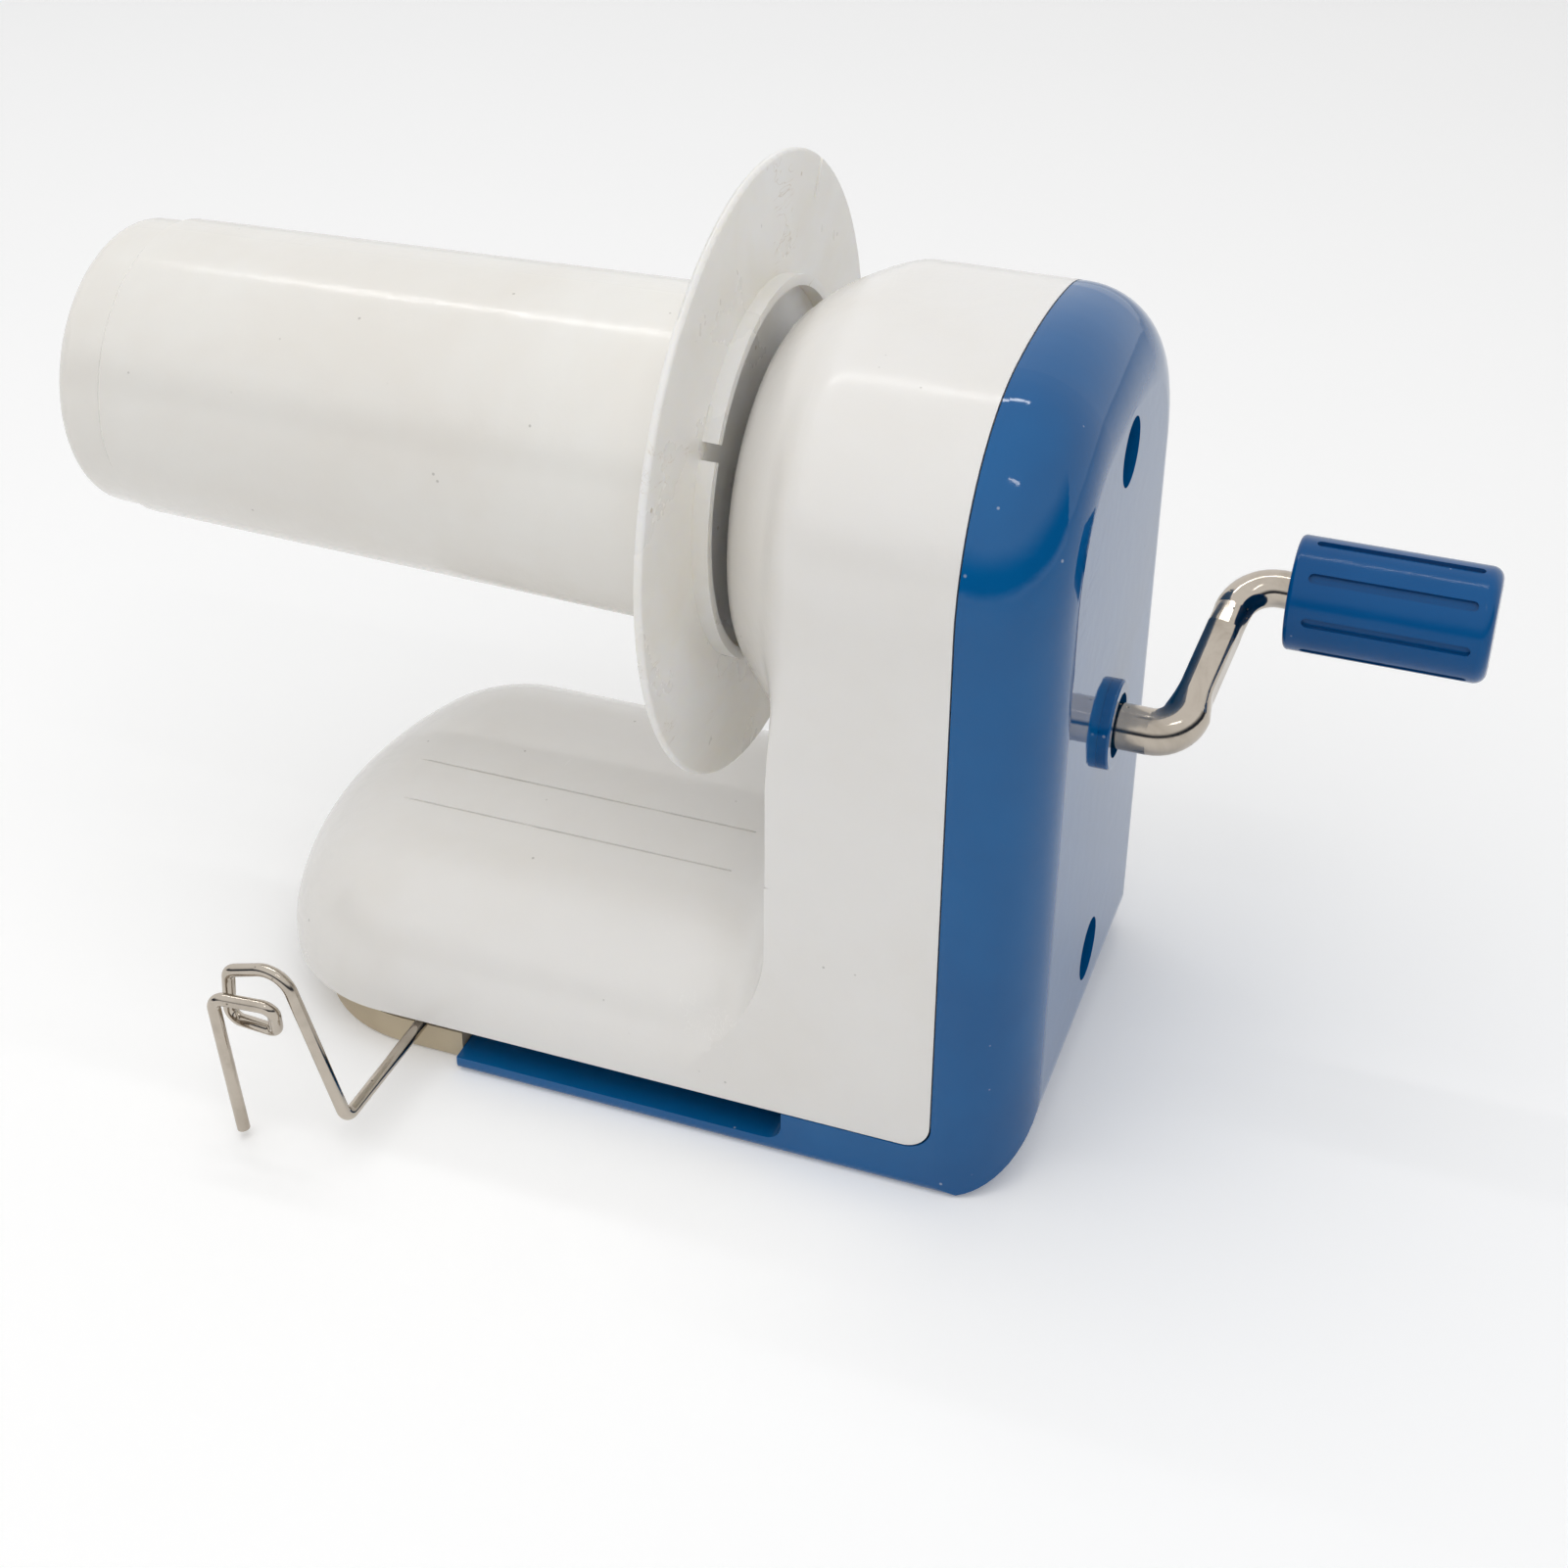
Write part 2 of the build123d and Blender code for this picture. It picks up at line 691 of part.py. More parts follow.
with BuildPart() as flange_disc:
    add(tube(across(-disc_front, spindle_height), disc_thickness, disc_radius))
    fillet(flange_disc.edges().filter_by(GeomType.CIRCLE), disc_edge_radius)
    add(tube(across(disc_back, spindle_height), skirt_length, skirt_radius, skirt_radius - skirt_wall))
    add(tube(across(-disc_front - spigot_length, spindle_height), spigot_length, spigot_radius,
             spigot_radius - spigot_wall))
    add(tube(across(hub_front, spindle_height), hub_rear - hub_front, hub_radius))
    add(tube(across(-beyond, spindle_height), beyond, spindle_radius + fixed_clearance),
        mode=Mode.SUBTRACT)
    add(tube(level(spindle_height - hub_radius, hub_pin_x), 2 * hub_radius, pin_diameter / 2),
        mode=Mode.SUBTRACT)
    # slit at the rim that holds the yarn's end, and a notch in the skirt
    with BuildSketch(across(-disc_front - 1, spindle_height)):
        with PolarLocations(disc_radius, 1, start_angle=yarn_notch_angle):
            SlotOverall(2 * yarn_notch_depth, yarn_notch_width)
    extrude(amount=disc_thickness + 2, mode=Mode.SUBTRACT)
    with BuildSketch(across(disc_back, spindle_height)):
        with PolarLocations(skirt_radius, 1, start_angle=skirt_notch_angle):
            Rectangle(3 * skirt_wall, skirt_notch_width)
    extrude(amount=skirt_length, mode=Mode.SUBTRACT)
finish(flange_disc, "flange_disc")

with BuildPart() as yarn_cone:
    with BuildSketch(side_on(spindle_height)):
        with BuildLine():
            tip_radius = cone_tip_radius - cone_band_step
            band_x = -cone_tip + cone_band_length
            taper = (cone_rear_radius - cone_tip_radius) / cone_length
            band_radius = cone_rear_radius - taper * (cone_length - cone_band_length)
            inner_tip = cone_wall - cone_tip
            Polyline((-cone_tip + cone_edge_radius, tip_radius),
                     (band_x - cone_band_step, band_radius - cone_band_step),
                     (band_x, band_radius),
                     (-disc_front, cone_rear_radius),
                     (-disc_front, cone_rear_radius - cone_wall),
                     (-disc_front - spigot_length - 1, cone_rear_radius - cone_wall),
                     (band_x, band_radius - cone_wall - 0.4),
                     (inner_tip, tip_radius - cone_wall - 1),
                     (inner_tip, 0),
                     (-cone_tip, 0),
                     (-cone_tip, tip_radius - cone_edge_radius))
            CenterArc((-cone_tip + cone_edge_radius, tip_radius - cone_edge_radius), cone_edge_radius,
                      180, -90)
        make_face()
    revolve(axis=spindle_axis)
finish(yarn_cone, "yarn_cone")

with BuildPart() as hub_pin:
    add(tube(level(spindle_height - hub_radius, hub_pin_x), 2 * hub_radius,
             pin_diameter / 2 - fixed_clearance))
finish(hub_pin, "hub_pin")

with BuildPart() as hub_washer:
    add(tube(across(hub_front - 1, spindle_height), 1.0, hub_washer_radius, hub_screw_radius + 0.1))
finish(hub_washer, "hub_washer")

with BuildPart() as hub_screw:
    add(tube(across(hub_front - 1, spindle_height), -2.6, 2 * hub_screw_radius))
    add(tube(across(hub_front - 1, spindle_height), hub_screw_length, hub_screw_radius - screw_clearance))
finish(hub_screw, "hub_screw")

# ---------------------------------------------------------------- crank
gear_pin_x = -gear_rear + drive_hub_length / 2
front_clip_x = -shaft_front + crank_bush_length + bush_flange + 0.1
crank_clip_x = crank_rear_bush_x - clip_thickness - 0.1

with BuildPart() as crank_rod:
    low_corner = Vector(arm_x, 0, crank_height)
    high_corner = Vector(arm_x + arm_lean, grip_y, grip_z)
    arm = (high_corner - low_corner).normalized()
    along = Vector(1, 0, 0)
    low_setback = low_bend_radius * tan(along.get_angle(arm) * pi / 360)
    high_setback = high_bend_radius * tan(along.get_angle(arm) * pi / 360)
    arm_start = low_corner + arm * low_setback
    arm_end = high_corner - arm * high_setback
    # shaft and low bend, then high bend and the round end that carries the grip
    with BuildLine():
        Line((-shaft_front, 0, crank_height), low_corner - along * low_setback)
        TangentArc(low_corner - along * low_setback, arm_start, tangent=along)
    with BuildSketch(across(-shaft_front, crank_height)):
        Circle(crank_radius)
    sweep()
    with BuildLine():
        TangentArc(arm_end, high_corner + along * high_setback, tangent=arm)
        Line(high_corner + along * high_setback, (rod_end, grip_y, grip_z))
    with BuildSketch(Plane(origin=arm_end, x_dir=along, z_dir=arm)):
        Circle(handle_radius)
    sweep()
    # the flattened arm, tapering to round at both ends
    for start, reach, radius in ((arm_start, arm, crank_radius), (arm_end, arm * -1, handle_radius)):
        with BuildSketch(Plane(origin=start, x_dir=along, z_dir=reach)):
            Circle(radius)
        with BuildSketch(Plane(origin=start + reach * arm_taper, x_dir=along, z_dir=reach)):
            RectangleRounded(arm_width, arm_depth, arm_corner_radius)
        loft()
    with BuildSketch(Plane(origin=arm_start + arm * arm_taper, x_dir=along, z_dir=arm)):
        RectangleRounded(arm_width, arm_depth, arm_corner_radius)
    extrude(amount=(arm_end - arm_start).length - 2 * arm_taper)
    for x in (front_clip_x, crank_clip_x):
        add(clip_groove(x, crank_height, crank_radius), mode=Mode.SUBTRACT)
    add(tube(level(0, gear_pin_x), beyond, pin_diameter / 2), mode=Mode.SUBTRACT)
finish(crank_rod, "crank_rod")

with BuildPart() as drive_gear:
    add(gear(drive_teeth, crank_height, 90))
    add(tube(across(-gear_rear, crank_height), drive_hub_length, drive_hub_radius))
    add(tube(across(-beyond, crank_height), 2 * beyond, crank_radius + fixed_clearance),
        mode=Mode.SUBTRACT)
    add(tube(level(0, gear_pin_x), beyond, pin_diameter / 2), mode=Mode.SUBTRACT)
    # lightening web: a shallow ring on each face
    for x, depth in ((-gear_front, 2.0), (-gear_rear, -2.0)):
        add(tube(across(x, crank_height), depth, gear_module * drive_teeth / 2 - 4,
                 drive_hub_radius + 2), mode=Mode.SUBTRACT)
finish(drive_gear, "drive_gear")

with BuildPart() as gear_pin:
    add(tube(level(crank_height - drive_hub_radius, gear_pin_x), 2 * drive_hub_radius,
             pin_diameter / 2 - fixed_clearance))
finish(gear_pin, "gear_pin")

with BuildPart() as crank_front_bush:
    add(tube(across(-shaft_front, crank_height), crank_bush_length, crank_seat - fixed_clearance,
             crank_radius + running_clearance))
    add(tube(across(-shaft_front + crank_bush_length, crank_height), bush_flange,
             crank_seat + bush_flange_reach, crank_radius + running_clearance))
finish(crank_front_bush, "crank_front_bush")

with BuildPart() as crank_collar:
    add(tube(across(crank_rear_bush_x, crank_height), cover_depth - crank_rear_bush_x,
             crank_seat - fixed_clearance))
    add(tube(across(cover_depth, crank_height), collar_thickness, collar_radius))
    fillet(crank_collar.faces().sort_by(Axis.X)[-1].edges(), 0.5)
    add(tube(across(0, crank_height), beyond, crank_radius + running_clearance), mode=Mode.SUBTRACT)
    mouth_x = cover_depth + collar_thickness - collar_mouth_depth
    add(tube(across(mouth_x, crank_height), beyond, collar_mouth_radius), mode=Mode.SUBTRACT)
finish(crank_collar, "crank_collar")

with BuildPart() as crank_clips:
    add(clip(front_clip_x, crank_height, crank_radius))
    add(clip(crank_clip_x, crank_height, crank_radius))
finish(crank_clips, "crank_clips")

# ---------------------------------------------------------------- grip
with BuildPart() as grip:
    add(tube(across(grip_x, grip_z, grip_y), grip_length, grip_radius))
    ends = grip.edges().filter_by(GeomType.CIRCLE).sort_by(Axis.X)
    fillet(ends[0], grip_edge_radius)
    fillet(grip.edges().filter_by(GeomType.CIRCLE).sort_by(Axis.X)[-1], grip_end_radius)
    groove_length = grip_length - 2 * groove_margin
    groove_shift = grip_radius - groove_depth
    for groove in range(grip_grooves):
        turn = 360 * groove / grip_grooves
        top = Plane(origin=(grip_x + grip_length / 2, grip_y, grip_z), x_dir=(1, 0, 0),
                    z_dir=(0, -sin(radians(turn)), cos(radians(turn))))
        with BuildSketch(top.offset(groove_shift)):
            SlotOverall(groove_length, groove_width)
        extrude(amount=groove_depth + 1, mode=Mode.SUBTRACT)
    add(tube(across(grip_x, grip_z, grip_y), grip_length, handle_radius + running_clearance),
        mode=Mode.SUBTRACT)
    add(tube(across(nut_pocket_x, grip_z, grip_y), beyond, nut_pocket_radius), mode=Mode.SUBTRACT)
    add(tube(across(cap_x, grip_z, grip_y), beyond, cap_radius), mode=Mode.SUBTRACT)
finish(grip, "grip")

with BuildPart() as grip_cap:
    add(tube(across(cap_x, grip_z, grip_y), cap_thickness, cap_radius - fixed_clearance))
    chamfer(grip_cap.faces().sort_by(Axis.X)[-1].edges(), 0.4)
finish(grip_cap, "grip_cap")

with BuildPart() as grip_nut:
    add(tube(across(nut_pocket_x + 0.3, grip_z, grip_y), nut_thickness, nut_radius, handle_radius))
finish(grip_nut, "grip_nut")
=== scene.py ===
"""Hand-cranked yarn cone winder: materials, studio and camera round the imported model, in metres."""

from math import cos, radians, sin

import bmesh
import bpy
import numpy as np
from mathutils import Matrix, Vector

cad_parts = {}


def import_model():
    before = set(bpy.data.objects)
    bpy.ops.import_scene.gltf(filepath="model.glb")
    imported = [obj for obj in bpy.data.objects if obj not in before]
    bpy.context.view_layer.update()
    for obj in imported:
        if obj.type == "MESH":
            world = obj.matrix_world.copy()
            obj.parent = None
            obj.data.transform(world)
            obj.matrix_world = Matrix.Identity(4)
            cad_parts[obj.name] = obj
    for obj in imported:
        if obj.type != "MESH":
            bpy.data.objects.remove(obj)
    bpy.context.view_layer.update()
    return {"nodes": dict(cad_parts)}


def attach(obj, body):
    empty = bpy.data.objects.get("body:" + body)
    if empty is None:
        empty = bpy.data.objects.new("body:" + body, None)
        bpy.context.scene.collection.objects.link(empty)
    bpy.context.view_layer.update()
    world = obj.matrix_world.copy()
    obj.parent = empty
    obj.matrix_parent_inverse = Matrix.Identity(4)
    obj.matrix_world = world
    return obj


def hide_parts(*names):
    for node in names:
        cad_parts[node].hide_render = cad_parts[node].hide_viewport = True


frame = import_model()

MM = 0.001

# ---------------------------------------------------------------- colours, as linear numbers


def srgb(red, green, blue):
    """Linear colour of three display values from 0 to 255."""
    def linear(value):
        value /= 255
        return value / 12.92 if value <= 0.04045 else ((value + 0.055) / 1.055) ** 2.4
    return (linear(red), linear(green), linear(blue), 1.0)


SHELL_WHITE = srgb(238, 236, 233)
SHELL_SHADE = srgb(234, 231, 226)
CONE_WHITE = srgb(239, 237, 232)
CONE_SHADE = srgb(234, 230, 223)
MILKY = srgb(247, 246, 244)
MILKY_SHADE = srgb(241, 237, 229)
FLOW_BROWN = srgb(178, 158, 128)
CREAM = srgb(205, 190, 162)
CREAM_SHADE = srgb(186, 168, 138)
BLUE = srgb(2, 93, 153)
BLUE_DEEP = srgb(1, 84, 142)
GRIP_BLUE = srgb(2, 84, 143)
GRIP_DEEP = srgb(1, 74, 130)
NYLON = srgb(226, 222, 206)
NYLON_SHADE = srgb(210, 203, 182)
NICKEL = srgb(188, 179, 167)
NICKEL_DULL = srgb(164, 154, 141)
STEEL = srgb(200, 200, 198)
STEEL_DULL = srgb(150, 150, 150)
# Dark brown of specks and pits, and of the painted shade in corners.
DIRT_AND_SHADE = srgb(96, 88, 76)
DUST = srgb(232, 236, 240)


# ---------------------------------------------------------------- material building blocks
class Nodes:
    """One material's node tree, with short calls for the nodes used here."""

    def __init__(self, name):
        self.material = bpy.data.materials.new(name)
        self.material.use_nodes = True
        self.tree = self.material.node_tree
        self.shader = self.tree.nodes["Principled BSDF"]
        self.object_point = self.add("ShaderNodeTexCoord").outputs["Object"]

    def add(self, kind, **settings):
        node = self.tree.nodes.new(kind)
        for key, value in settings.items():
            setattr(node, key, value)
        return node

    def link(self, source, target):
        self.tree.links.new(source, target)

    def feed(self, socket, value):
        """A link where value is a socket, or else a plain number or colour."""
        if isinstance(value, bpy.types.NodeSocket):
            self.link(value, socket)
        else:
            socket.default_value = value

    def stretch(self, factors, turn=(0.0, 0.0, 0.0)):
        """The object point, scaled along its axes, for marks that run one way."""
        node = self.add("ShaderNodeMapping")
        self.link(self.object_point, node.inputs["Vector"])
        node.inputs["Scale"].default_value = factors
        node.inputs["Rotation"].default_value = turn
        return node.outputs["Vector"]

    def noise(self, scale, detail=3.0, rough=0.55, distortion=0.0, point=None):
        """Cloudy noise from 0 to 1."""
        node = self.add("ShaderNodeTexNoise")
        self.link(point or self.object_point, node.inputs["Vector"])
        node.inputs["Scale"].default_value = scale
        node.inputs["Detail"].default_value = detail
        node.inputs["Roughness"].default_value = rough
        node.inputs["Distortion"].default_value = distortion
        return node.outputs["Fac"]

    def cells(self, scale, point=None):
        """Distance to the nearest of scattered points, for specks and pits."""
        node = self.add("ShaderNodeTexVoronoi")
        self.link(point or self.object_point, node.inputs["Vector"])
        node.inputs["Scale"].default_value = scale
        return node.outputs["Distance"]

    def ramp(self, value, low, high, out_low=0.0, out_high=1.0):
        """Eased change from out_low at low to out_high at high."""
        node = self.add("ShaderNodeMapRange", interpolation_type="SMOOTHSTEP")
        self.feed(node.inputs["Value"], value)
        node.inputs["From Min"].default_value = low
        node.inputs["From Max"].default_value = high
        node.inputs["To Min"].default_value = out_low
        node.inputs["To Max"].default_value = out_high
        return node.outputs["Result"]

    def math(self, operation, first, second=0.0):
        node = self.add("ShaderNodeMath", operation=operation)
        self.feed(node.inputs[0], first)
        self.feed(node.inputs[1], second)
        return node.outputs["Value"]

    def mix(self, amount, first, second):
        node = self.add("ShaderNodeMix", data_type="RGBA")
        self.feed(node.inputs["Factor"], amount)
        self.feed(node.inputs[6], first)
        self.feed(node.inputs[7], second)
        return node.outputs[2]

    def crevice(self, reach, samples=6):
        """1 in corners and gaps that are narrower than reach, 0 on open surfaces."""
        node = self.add("ShaderNodeAmbientOcclusion", samples=samples, only_local=True)
        node.inputs["Distance"].default_value = reach
        return self.math("SUBTRACT", 1.0, node.outputs["AO"])

    def bump(self, height, depth, strength=1.0, under=None):
        """Bump of a height map from 0 to 1, depth metres deep."""
        node = self.add("ShaderNodeBump")
        node.inputs["Strength"].default_value = strength
        node.inputs["Distance"].default_value = depth
        self.feed(node.inputs["Height"], height)
        if under is not None:
            self.link(under, node.inputs["Normal"])
        return node.outputs["Normal"]

    def background_ray(self):
        """1 for a ray from the camera, or one reflected or let through by a glossy surface."""
        path = self.add("ShaderNodeLightPath")
        glossy = self.math("MAXIMUM", path.outputs["Is Glossy Ray"], path.outputs["Is Transmission Ray"])
        return self.math("MAXIMUM", path.outputs["Is Camera Ray"], glossy)

    def set(self, **values):
        """Shader inputs by name, with spaces written as _."""
        for key, value in values.items():
            self.feed(self.shader.inputs[key.replace("_", " ")], value)
        return self.material


def specks(nodes, scale, size, share):
    """Small specks: 1 inside them.  share is the part of the cells that has one."""
    spot = nodes.ramp(nodes.cells(scale), size, size * 0.5)
    chosen = nodes.ramp(nodes.noise(scale * 0.31, 1.0), 0.62 - 0.1 * share, 0.66 - 0.1 * share)
    return nodes.math("MULTIPLY", spot, chosen)


def scratches(nodes, scale, turn, width=0.03, share=0.5):
    """Fine scratches along one direction: 1 on them."""
    point = nodes.stretch((1.0, 0.06, 1.0), turn)
    line = nodes.noise(scale, 2.0, 0.6, 0.4, point)
    line = nodes.math("ABSOLUTE", nodes.math("SUBTRACT", line, 0.5))
    line = nodes.ramp(line, width, 0.0)
    patch = nodes.ramp(nodes.noise(28.0, 2.0), 0.6 - 0.2 * share, 0.75 - 0.2 * share)
    return nodes.math("MULTIPLY", line, patch)


# ---------------------------------------------------------------- materials
def moulded_plastic(name, colour, shade, roughness, speck_colour, corner_shade=0.3, peel=0.00010, ior=1.46,
                    scatter=0.0, specular=0.5):
    """Glossy moulded plastic: cloudy colour, specks, fine scratches, orange peel and painted shade in
    corners.
    """
    nodes = Nodes(name)
    cloud = nodes.ramp(nodes.noise(16.0, 4.0, 0.6, 0.3), 0.35, 0.7)
    base = nodes.mix(cloud, colour, shade)
    dots = specks(nodes, 210.0, 0.08, 0.3)
    base = nodes.mix(nodes.math("MULTIPLY", dots, 0.35), base, speck_colour)
    # Painted shade: corners and gaps narrower than 4 mm are darkened towards dark brown, with the mask
    # found by ambient occlusion.
    if corner_shade:
        corner = nodes.ramp(nodes.crevice(0.004), 0.35, 0.95)
        patchy = nodes.ramp(nodes.noise(140.0, 3.0), 0.3, 0.75)
        corner_shade_mask = nodes.math("MULTIPLY", nodes.math("MULTIPLY", corner, patchy), corner_shade)
        base = nodes.mix(corner_shade_mask, base, DIRT_AND_SHADE)
    scuffs = nodes.math("MAXIMUM", scratches(nodes, 420.0, (0.0, 0.3, 0.5)),
                        scratches(nodes, 380.0, (0.2, 1.2, 1.4)))
    smudge = nodes.ramp(nodes.noise(34.0, 5.0, 0.65, 0.6), 0.3, 0.75)
    rough = nodes.math("ADD", nodes.math("MULTIPLY", smudge, 0.4 * roughness), roughness)
    rough = nodes.math("ADD", rough, nodes.math("MULTIPLY", scuffs, 0.07))
    skin = nodes.bump(nodes.noise(260.0, 2.0, 0.5), peel, 0.6)
    skin = nodes.bump(nodes.noise(1500.0, 2.0, 0.6), peel * 0.16, 0.6, skin)
    skin = nodes.bump(nodes.math("SUBTRACT", 1.0, scuffs), 0.000004, 0.5, skin)
    nodes.set(Base_Color=base, Roughness=rough, Normal=skin, IOR=ior)
    if scatter:
        nodes.set(Subsurface_Weight=scatter, Subsurface_Radius=(0.004, 0.0034, 0.0026),
                  Subsurface_Scale=0.6)
    nodes.set(Specular_IOR_Level=specular)
    return nodes.material


def milky_plastic():
    """Thin milky polypropylene: cloudy body, brown flow marks and a slightly uneven face."""
    nodes = Nodes("milky_plastic")
    cloud = nodes.ramp(nodes.noise(22.0, 4.0, 0.6, 0.8), 0.3, 0.75)
    base = nodes.mix(cloud, MILKY, MILKY_SHADE)
    point = nodes.stretch((1.0, 0.22, 1.0), (0.5, 0.0, 0.0))
    flow = nodes.noise(150.0, 3.0, 0.6, 1.6, point)
    flow = nodes.ramp(nodes.math("ABSOLUTE", nodes.math("SUBTRACT", flow, 0.5)), 0.010, 0.0)
    patch = nodes.ramp(nodes.noise(52.0, 2.0), 0.62, 0.70)
    marks = nodes.math("MULTIPLY", nodes.math("MULTIPLY", flow, patch), 0.4)
    base = nodes.mix(marks, base, FLOW_BROWN)
    base = nodes.mix(nodes.math("MULTIPLY", specks(nodes, 160.0, 0.09, 0.4), 0.5), base, FLOW_BROWN)
    rough = nodes.ramp(nodes.noise(60.0, 4.0), 0.3, 0.7, 0.26, 0.38)
    skin = nodes.bump(nodes.noise(46.0, 3.0, 0.5, 0.8), 0.0005, 0.5)
    skin = nodes.bump(nodes.noise(700.0, 2.0), 0.00003, 0.6, skin)
    return nodes.set(Base_Color=base, Roughness=rough, Normal=skin, IOR=1.49, Subsurface_Weight=0.35,
                     Subsurface_Radius=(0.006, 0.005, 0.0035), Subsurface_Scale=0.7)


def plated_steel():
    """Nickel-plated bar: bright, with dull smudges, tiny pits and lengthwise drawing marks."""
    nodes = Nodes("plated_steel")
    smudge = nodes.ramp(nodes.noise(70.0, 4.0, 0.62, 0.7), 0.42, 0.8)
    base = nodes.mix(smudge, NICKEL, NICKEL_DULL)
    pits = specks(nodes, 420.0, 0.13, 0.9)
    base = nodes.mix(nodes.math("MULTIPLY", pits, 0.75), base, DIRT_AND_SHADE)
    rough = nodes.math("ADD", nodes.math("MULTIPLY", smudge, 0.10), 0.10)
    rough = nodes.math("ADD", rough, nodes.math("MULTIPLY", pits, 0.4))
    drawn = nodes.noise(900.0, 2.0, 0.6, 0.0, nodes.stretch((0.08, 1.0, 1.0)))
    skin = nodes.bump(nodes.noise(130.0, 2.0), 0.00012, 0.5)
    skin = nodes.bump(drawn, 0.00001, 0.6, skin)
    skin = nodes.bump(nodes.math("SUBTRACT", 1.0, pits), 0.00006, 0.8, skin)
    return nodes.set(Base_Color=base, Metallic=1.0, Roughness=rough, Normal=skin)


def bright_steel():
    """Turned and pressed steel: fine turning marks, dull patches."""
    nodes = Nodes("bright_steel")
    dull = nodes.ramp(nodes.noise(220.0, 4.0, 0.6, 0.5), 0.4, 0.75)
    base = nodes.mix(dull, STEEL, STEEL_DULL)
    rough = nodes.math("ADD", nodes.math("MULTIPLY", dull, 0.15), 0.2)
    turned = nodes.noise(2600.0, 2.0, 0.6, 0.0, nodes.stretch((1.0, 0.2, 0.2)))
    return nodes.set(Base_Color=base, Metallic=1.0, Roughness=rough,
                     Normal=nodes.bump(turned, 0.00002, 0.7))


MATERIALS = {
    "white_plastic": moulded_plastic("white_plastic", SHELL_WHITE, SHELL_SHADE, 0.16, DIRT_AND_SHADE,
                                     scatter=0.08),
    "cone_plastic": moulded_plastic("cone_plastic", CONE_WHITE, CONE_SHADE, 0.14, DIRT_AND_SHADE, corner_shade=0.4,
                                    scatter=0.08),
    "milky_plastic": milky_plastic(),
    "cream_plastic": moulded_plastic("cream_plastic", CREAM, CREAM_SHADE, 0.32, DIRT_AND_SHADE, peel=0.00016),
    "blue_plastic": moulded_plastic("blue_plastic", BLUE, BLUE_DEEP, 0.04, DUST, corner_shade=0.35,
                                    peel=0.00004, ior=1.43),
    "gear_plastic": moulded_plastic("gear_plastic", NYLON, NYLON_SHADE, 0.34, DIRT_AND_SHADE, scatter=0.15),
    "plated_steel": plated_steel(),
    "bright_steel": bright_steel(),
}
GRIP_PLASTIC = moulded_plastic("grip_plastic", GRIP_BLUE, GRIP_DEEP, 0.13, DUST, corner_shade=0.4, specular=0.25)
NODE_MATERIALS = {"grip": GRIP_PLASTIC, "grip_cap": GRIP_PLASTIC}


def paint_nodes():
    """Each CAD node gets its slot's material, or its own one."""
    for name, node in frame["nodes"].items():
        for slot in node.material_slots:
            material = NODE_MATERIALS.get(name) or MATERIALS[slot.material.name.split(".")[0]]
            slot.link = "OBJECT"
            slot.material = material


# ---------------------------------------------------------------- front housing with its blended head
# Sizes of the head in millimetres, as in the CAD model.
HALF_WIDTH, TOWER_TOP, TOWER_FRONT, SHELL_REAR = 50.2, 161.0, -33.5, -0.3
CORNER_RADIUS, CROWN_RADIUS = 37.0, 125.0
BOSS_Z, BOSS_FRONT, BOSS_FACE_RADIUS, BOSS_EDGE = 118.5, -48.2, 28.0, 10.0
HEAD_FLOOR = 64.0  # the head is rebuilt above this height
EDGE_BLEND, FOOT_BLEND, BOSS_BLEND = 3.05, 4.0, 6.8  # how wide its edges are rounded
SHARP_BLEND = 0.4
BLEND_LOW, BLEND_HIGH = 84.0, 112.0  # the rounding of the front edge grows between these heights
BOSS_EDGE_X = -38.2  # centre of the arc of the boss's edge
CONE_X = BOSS_EDGE_X - BOSS_EDGE * sin(radians(45))
CONE_RADIUS = BOSS_FACE_RADIUS + BOSS_EDGE * cos(radians(45))
OLD_SKIN = 0.8  # CAD faces up to this far under the head's surface belong to its old outside
REARWARD = 0.7  # a face whose normal leans this far to +X belongs to the inside
SHARP_ANGLE = radians(32)  # edges up to this angle are shaded smooth
FACE_INSET, FACE_STEP = 0.2, 0.03  # the skin's inner ring lies this far inside and in front of the face


def smooth_max(first, second, width):
    """The larger of two values, rounded over where they are within width of each other."""
    overlap = np.maximum(width - np.abs(first - second), 0.0)
    return np.maximum(first, second) + overlap ** 2 / (4 * width)


def arch_distance(y, z):
    """Distance outside the arched outline of the tower."""
    corner_y = HALF_WIDTH - CORNER_RADIUS
    crown_z = TOWER_TOP - CROWN_RADIUS
    corner_z = crown_z + np.sqrt((CROWN_RADIUS - CORNER_RADIUS) ** 2 - corner_y ** 2)
    lean = np.arctan2(corner_y, corner_z - crown_z)
    side = np.abs(y)
    corner = np.hypot(side - corner_y, np.maximum(z - corner_z, 0.0)) - CORNER_RADIUS
    crown = np.hypot(side, z - crown_z) - CROWN_RADIUS
    return np.where(np.arctan2(side, z - crown_z) < lean, crown, corner)


def boss_radius(y, z):
    """Distance from the boss's axis."""
    return np.hypot(y, z - BOSS_Z)


